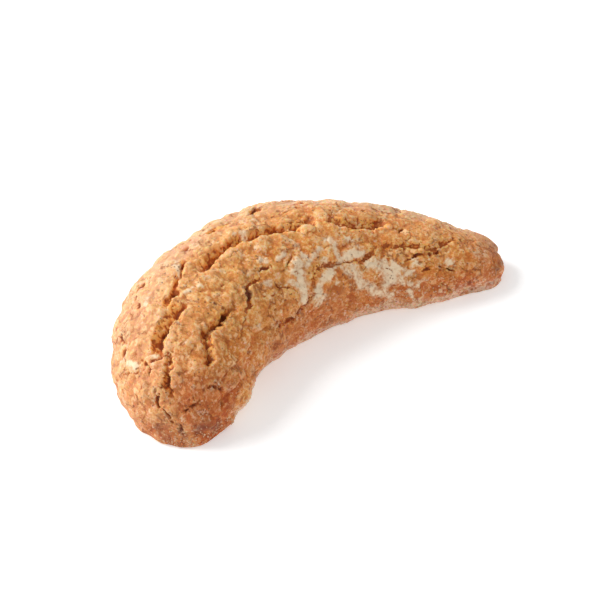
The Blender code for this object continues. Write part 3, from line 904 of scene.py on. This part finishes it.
class Nodes:
    """A material's nodes, with short names for what this file uses."""

    def __init__(self, name):
        self.material = bpy.data.materials.new(name)
        self.material.use_nodes = True
        self.tree = self.material.node_tree
        self.shader = self.tree.nodes["Principled BSDF"]
        place = self.add("ShaderNodeTexCoord").outputs["Object"]
        self.place = self.vector("SCALE", {0: place, "Scale": 1 / MM})

    def add(self, kind, settings=None, inputs=None):
        node = self.tree.nodes.new(kind)
        for name, value in (settings or {}).items():
            setattr(node, name, value)
        for name, value in (inputs or {}).items():
            self.put(node.inputs[name], value)
        return node

    def put(self, socket, value):
        if isinstance(value, bpy.types.NodeSocket):
            self.tree.links.new(value, socket)
        else:
            socket.default_value = value

    def mask(self, name):
        return self.add("ShaderNodeAttribute", {"attribute_name": name}).outputs["Fac"]

    def noise(self, size, detail=2.0, roughness=0.5, distortion=0.0, output="Fac"):
        inputs = {"Vector": self.place, "Scale": 1 / size, "Detail": detail}
        inputs |= {"Roughness": roughness, "Distortion": distortion}
        return self.add("ShaderNodeTexNoise", {}, inputs).outputs[output]

    def cells(self, size):
        inputs = {"Vector": self.place, "Scale": 1 / size}
        return self.add("ShaderNodeTexVoronoi", {"feature": "F1"}, inputs).outputs["Distance"]

    def seams(self, size, width, raggedness, patches):
        """Thin broken lines between cells of that size: 1 on a line, 0 beside it."""
        stray = self.noise(size / 2, 3.0, 0.6, output="Color")
        stray = self.vector("SCALE", {0: stray, "Scale": raggedness})
        strayed = self.vector("ADD", {0: self.place, 1: stray})
        inputs = {"Vector": strayed, "Scale": 1 / size}
        lines = self.add("ShaderNodeTexVoronoi", {"feature": "DISTANCE_TO_EDGE"}, inputs).outputs["Distance"]
        inside = self.span(lines, 0.5 * width / size, 0.1 * width / size)
        return self.math("MULTIPLY", inside, self.span(self.noise(patches, 2), 0.48, 0.62))

    def span(self, value, low, high, start=0.0, end=1.0):
        inputs = {"Value": value, "From Min": low, "From Max": high, "To Min": start, "To Max": end}
        return self.add("ShaderNodeMapRange", {"interpolation_type": "SMOOTHSTEP"}, inputs).outputs[0]

    def vector(self, operation, inputs):
        return self.add("ShaderNodeVectorMath", {"operation": operation}, inputs).outputs[0]

    def math(self, operation, a, b):
        return self.add("ShaderNodeMath", {"operation": operation}, {0: a, 1: b}).outputs[0]

    def total(self, *terms):
        """The sum of (value, weight) pairs."""
        result = 0.0
        for value, weight in terms:
            result = self.math("ADD", self.math("MULTIPLY", value, weight), result)
        return result

    def mix(self, factor, a, b, mode="MIX"):
        node = self.add("ShaderNodeMix", {"data_type": "RGBA", "blend_type": mode})
        self.put(node.inputs[0], factor)
        self.put(node.inputs[6], a)
        self.put(node.inputs[7], b)
        return node.outputs[2]

    def ramp(self, value, *stops):
        """Colours at places from 0 to 1."""
        node = self.add("ShaderNodeValToRGB", {}, {"Fac": value})
        elements = node.color_ramp.elements
        elements[0].position, elements[0].color = stops[0]
        elements[1].position, elements[1].color = stops[-1]
        for place, colour in stops[1:-1]:
            elements.new(place).color = colour
        return node.outputs["Color"]

    def bump(self, height, distance, strength=1.0):
        inputs = {"Height": height, "Distance": distance, "Strength": strength}
        return self.add("ShaderNodeBump", {}, inputs).outputs["Normal"]


def colour(red, green, blue):
    """A colour from sRGB values up to 255, in linear light."""
    linear = []
    for value in (red, green, blue):
        share = value / 255
        linear.append(share / 12.92 if share <= 0.04045 else ((share + 0.055) / 1.055) ** 2.4)
    return (*linear, 1.0)


def crust_textures(n):
    """What the crust's colours, gloss and bumps are mixed by."""
    t = SimpleNamespace(relief=n.mask("relief"), torn=n.mask("torn"), underside=n.mask("underside"))
    t.broad = n.noise(6.0, 2)
    t.mottle = n.noise(1.8, 3, 0.6, 0.5)
    t.fine = n.noise(0.45, 3, 0.65)
    t.dots = n.noise(0.2, 2)
    bits = n.total((n.mask("bit"), 1.0), (t.fine, 1.0), (n.noise(5.0, 1), 1.0), (1.0, -1.0))
    t.bits = n.span(bits, 0.3, 1.0, 0.0, 0.6)
    # Painted shade: thin dark crevices between the crust's plates, which the bump also sinks.
    small_seams = n.math("MULTIPLY", n.seams(1.7, 0.28, 1.3, 2.2), 0.5)
    t.crevices = n.math("MAXIMUM", n.seams(3.4, 0.42, 2.6, 3.0), small_seams)
    t.flour = n.total((n.mask("flour"), 1.1), (t.mottle, 1.1), (t.fine, 1.2), (t.relief, 0.4), (1.56, -1.0))
    # Painted shade: the bottoms of fissures, cracks and pits, darker still where the surface lies low.
    t.deep = n.math("MULTIPLY", n.mask("deep"), n.span(t.relief, 0.65, 0.35, 0.3, 1.0))
    specks = n.total((n.cells(0.9), 1.0), (n.noise(4.0, 1), -0.35))
    t.specks = n.span(specks, -0.02, -0.08, 0.0, 0.7)
    return t


def plain_crust(n, t):
    """Golden crust with pale bits of nut, with painted shade in its hollows and thin crevices, painted
    highlights where it stands out, and painted sheen on the outer slope and crest that face the lamp.
    """
    # Painted shade and highlight: by the relief mask, hollows are darker orange-brown and what stands out is
    # paler.
    tone = n.total((t.relief, 0.5), (t.mottle, 0.9), (t.fine, 1.1), (t.dots, 0.7), (t.broad, 0.6))
    tone = n.total((n.mask("grain"), 0.3), (tone, 1.0))
    base = n.ramp(
        n.span(tone, 1.48, 2.45),
        (0.00, colour(198, 102, 28)),
        (0.35, colour(214, 128, 46)),
        (0.65, colour(226, 154, 76)),
        (1.00, colour(240, 194, 130)),
    )
    base = n.mix(n.span(n.noise(3.1, 2), 0.42, 0.62, 0.0, 0.15), base, colour(216, 150, 104))
    # Painted sheen on the outer slope and crest that face the lamp.
    base = n.mix(n.math("MULTIPLY", n.mask("painted_sheen"), 0.22), base, colour(228, 204, 176))
    base = n.mix(n.span(n.mask("coarse"), 0.4, 1.2, 0.0, 0.25), base, colour(228, 176, 104))
    base = n.mix(t.bits, base, colour(248, 204, 152))
    # Painted shade in the thin crevices.
    return n.mix(n.math("MULTIPLY", t.crevices, 0.75), base, colour(164, 84, 30))


def torn_crumb(n, t, base):
    # Painted shade and highlight here too: the torn crumb is darker in its hollows and paler where it stands
    # out.
    tone = n.total((t.relief, 0.8), (t.fine, 0.9), (t.mottle, 0.5), (n.mask("grain"), 0.3))
    opened = n.ramp(
        n.span(tone, 0.7, 1.5),
        (0.0, colour(172, 84, 30)),
        (0.4, colour(214, 122, 44)),
        (1.0, colour(240, 176, 94)),
    )
    return n.mix(n.span(t.torn, 0.15, 0.8), base, opened)


def melted_sugar(n, t, base):
    syrup = n.mix(n.span(t.mottle, 0.45, 0.65), colour(184, 98, 22), colour(212, 138, 48))
    return n.mix(n.span(n.mask("melted"), 0.2, 1.0, 0.0, 0.85), base, syrup)


def browned_and_shaded(n, t, base):
    # Real browning at the horn tips and feet, and painted shade on the inner slope that faces away from the
    # lamp.
    toast_and_shade = n.total((n.mask("toast_and_shade"), 1.0), (t.mottle, 0.8), (0.4, -1.0))
    return n.mix(n.span(toast_and_shade, 0.0, 1.0, 0.0, 0.9), base, colour(222, 178, 148), "MULTIPLY")


def dusted_and_bounce_lit(n, t, base):
    """Dust near the tray, paler and pinker also by painted light bounced up from the tray, and strokes of
    flour: a thin haze, and an opaque middle with a ragged edge.
    """
    # Dust, partly painted bounce light from the tray: a pink-tan haze low on the inner side.
    base = n.mix(n.span(n.mask("dust_and_bounce_light"), 0.0, 0.6, 0.0, 0.45), base, colour(212, 150, 108))
    dust_and_bounce_light = n.total((n.mask("dust_and_bounce_light"), 1.0), (t.fine, 2.2), (t.mottle, 1.4), (1.78, -1.0))
    base = n.mix(n.span(dust_and_bounce_light, 0.15, 0.75, 0.0, 0.75), base, colour(240, 208, 180))
    base = n.mix(n.span(t.flour, -0.15, 0.35, 0.0, 0.4), base, colour(226, 190, 154))
    return n.mix(n.span(t.flour, 0.15, 0.70, 0.0, 0.8), base, colour(246, 222, 188))


def dark_marks_and_shade(n, t, base):
    """Painted shade at the bottoms of fissures, cracks and pores, and the crust's own burnt spots and specks
    of nut skin.
    """
    # Painted shade at the bottoms of fissures, cracks and pits.
    base = n.mix(n.span(t.deep, 0.10, 0.4, 0.0, 0.8), base, colour(196, 106, 44))
    base = n.mix(n.span(t.deep, 0.40, 0.8, 0.0, 0.9), base, colour(136, 60, 22))
    # Painted shade inside the pores.
    base = n.mix(n.span(n.mask("pore_shade"), 0.1, 0.8, 0.0, 0.5), base, colour(140, 74, 34))
    burnt = n.total((n.mask("burnt"), 1.0), (t.mottle, 0.8), (0.4, -1.0))
    base = n.mix(n.span(burnt, 0.15, 0.9, 0.0, 0.75), base, colour(116, 62, 46))
    base = n.mix(n.span(n.mask("burnt"), 0.9, 1.2, 0.0, 0.7), base, colour(84, 40, 38))
    return n.mix(t.specks, base, colour(122, 68, 40))


def baked_underside(n, t, base):
    tone = n.total((t.broad, 0.8), (t.mottle, 0.8), (t.fine, 1.0), (t.dots, 0.6))
    baked = n.ramp(
        n.span(tone, 1.3, 1.9),
        (0.0, colour(150, 86, 42)),
        (0.5, colour(190, 120, 64)),
        (1.0, colour(222, 164, 104)),
    )
    return n.mix(t.underside, base, baked)


def crust_finish(n, t):
    """Gloss, fine bumps, and light that soaks in wherever no thin dark line or pale bit would blur."""
    gloss = n.total((t.fine, 0.7), (t.mottle, 0.4), (t.underside, 0.5))
    gloss = n.total((n.mask("melted"), -0.3), (n.mask("flour"), 0.15), (gloss, 1.0))
    n.put(n.shader.inputs["Roughness"], n.span(gloss, 0.2, 0.85, 0.30, 0.68))
    height = n.total((t.fine, 1.0), (n.noise(0.16, 2), 0.4), (t.crevices, -1.2))
    n.put(n.shader.inputs["Normal"], n.bump(height, 0.00014, 0.7))
    n.shader.inputs["Specular IOR Level"].default_value = 0.3
    crisp = t.underside
    for mask in (t.deep, t.crevices, t.specks, t.bits, n.span(t.flour, 0.1, 0.4)):
        crisp = n.math("MAXIMUM", crisp, mask)
    n.put(n.shader.inputs["Subsurface Weight"], n.span(crisp, 0.0, 0.5, 0.65, 0.0))
    n.shader.inputs["Subsurface Radius"].default_value = (1.0, 0.22, 0.07)
    n.shader.inputs["Subsurface Scale"].default_value = 0.0016


def crust_material():
    n = Nodes("baked_crust")
    t = crust_textures(n)
    base = plain_crust(n, t)
    for layer in (torn_crumb, melted_sugar, browned_and_shaded, dusted_and_bounce_lit, dark_marks_and_shade, baked_underside):
        base = layer(n, t, base)
    n.put(n.shader.inputs["Base Color"], base)
    crust_finish(n, t)
    return n.material


def sugar_material():
    n = Nodes("sugar")
    tint = n.ramp(n.noise(0.9), (0.3, colour(200, 146, 104)), (0.7, colour(236, 200, 164)))
    n.put(n.shader.inputs["Base Color"], tint)
    n.put(n.shader.inputs["Roughness"], n.span(n.noise(0.3), 0.3, 0.7, 0.2, 0.45))
    return n.material


def crumb_material():
    n = Nodes("crumb")
    tint = n.ramp(
        n.noise(0.9, 3),
        (0.35, colour(168, 92, 36)),
        (0.50, colour(206, 134, 66)),
        (0.65, colour(242, 194, 126)),
    )
    n.put(n.shader.inputs["Base Color"], tint)
    n.put(n.shader.inputs["Roughness"], n.span(n.noise(0.3), 0.3, 0.7, 0.4, 0.7))
    return n.material


# ---- The scene ----


def place_piece(name, mesh, material):
    mesh.materials.append(material)
    piece = bpy.data.objects.new(name, mesh)
    bpy.context.scene.collection.objects.link(piece)
    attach(piece, "root")
    return piece


def make_crumbs(form):
    """Crumbs that lie in the torn fissures."""
    upper = (form.points[:, 2] > 0.6) & (form.normals[:, 2] > 0.2)
    where, shapes = CRUMB_SEEDS
    at = chosen(upper * np.maximum(0, form.masks["torn"] - 0.3), LOOSE_CRUMBS, where)
    mesh = strew("loose_crumbs", form.points[at], form.normals[at], LOOSE_RADII, 2, 0.10, 0.6, shapes)
    place_piece("loose_crumbs", mesh, crumb_material())


def make_sugar(form):
    """Sugar grains, most of them at the left horn's foot and at the inner foot near the right horn."""
    inner_foot = fade(form.across, 0.84, 0.94) * fade(np.abs(form.along - 0.80), 0.14, 0)
    left_foot = fade(form.along, 0.08, 0) * fade(form.points[:, 2], 4.0, 0)
    where, shapes = SUGAR_SEEDS
    at = chosen((form.points[:, 2] > 0.3) * (inner_foot + left_foot + 0.004), SUGAR_GRAINS, where)
    mesh = strew("sugar_grains", form.points[at], form.normals[at], SUGAR_RADII, 1, 0.05, 0.7, shapes)
    place_piece("sugar_grains", mesh, sugar_material())


def make_cookie():
    form = crust()
    cookie = place_piece("crescent_crust", form.mesh, crust_material())
    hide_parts(NODE)
    make_crumbs(form)
    make_sugar(form)


def make_room():
    bpy.ops.mesh.primitive_plane_add(size=FLOOR_SIZE)
    floor = bpy.context.object
    floor.name = "floor"
    floor.location.z = -FLOOR_GAP * MM
    paper = bpy.data.materials.new("floor_white")
    paper.use_nodes = True
    shader = paper.node_tree.nodes["Principled BSDF"]
    shader.inputs["Base Color"].default_value = (FLOOR_WHITE, FLOOR_WHITE, FLOOR_WHITE, 1)
    shader.inputs["Roughness"].default_value = 0.9
    shader.inputs["Specular IOR Level"].default_value = 0.0
    shader.inputs["Emission Color"].default_value = (1, 1, 1, 1)
    shader.inputs["Emission Strength"].default_value = FLOOR_GLOW
    floor.data.materials.append(paper)

    world = bpy.data.worlds.new("studio")
    world.use_nodes = True
    background = world.node_tree.nodes["Background"]
    background.inputs["Color"].default_value = (1, 1, 1, 1)
    background.inputs["Strength"].default_value = SKY
    bpy.context.scene.world = world

    key = bpy.data.lights.new("key", "AREA")
    key.size = KEY_SIZE
    key.energy = KEY_POWER
    lamp = bpy.data.objects.new("key", key)
    towards = Vector(KEY_DIRECTION).normalized()
    lamp.location = towards * KEY_DISTANCE
    lamp.rotation_euler = towards.to_track_quat("Z", "Y").to_euler()
    bpy.context.scene.collection.objects.link(lamp)


def make_camera():
    azimuth, elevation = math.radians(CAMERA_AZIMUTH), math.radians(CAMERA_ELEVATION)
    level = math.cos(elevation)
    gaze = Vector((math.sin(azimuth) * level, math.cos(azimuth) * level, -math.sin(elevation)))
    target = Vector((SPINE_MIDDLE[0] + LOOK_FROM_MIDDLE[0], SPINE_MIDDLE[1] + LOOK_FROM_MIDDLE[1], 0))
    camera = bpy.data.cameras.new("camera")
    camera.lens = CAMERA_LENS
    camera.sensor_width = CAMERA_SENSOR
    camera.clip_start = 0.01
    seat = bpy.data.objects.new("camera", camera)
    seat.location = (target - gaze * CAMERA_DISTANCE) * MM
    seat.rotation_euler = gaze.to_track_quat("-Z", "Y").to_euler()
    bpy.context.scene.collection.objects.link(seat)
    bpy.context.scene.camera = seat


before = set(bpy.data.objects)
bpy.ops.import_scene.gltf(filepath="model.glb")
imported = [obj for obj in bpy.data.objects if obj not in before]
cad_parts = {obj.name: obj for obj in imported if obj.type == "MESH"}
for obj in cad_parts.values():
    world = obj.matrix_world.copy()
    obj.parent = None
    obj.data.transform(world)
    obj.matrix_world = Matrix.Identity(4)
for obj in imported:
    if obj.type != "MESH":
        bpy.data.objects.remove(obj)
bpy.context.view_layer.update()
noise.seed_set(NOISE_SEED)
make_camera()
make_room()
make_cookie()
bpy.context.scene.view_settings.view_transform = "Standard"
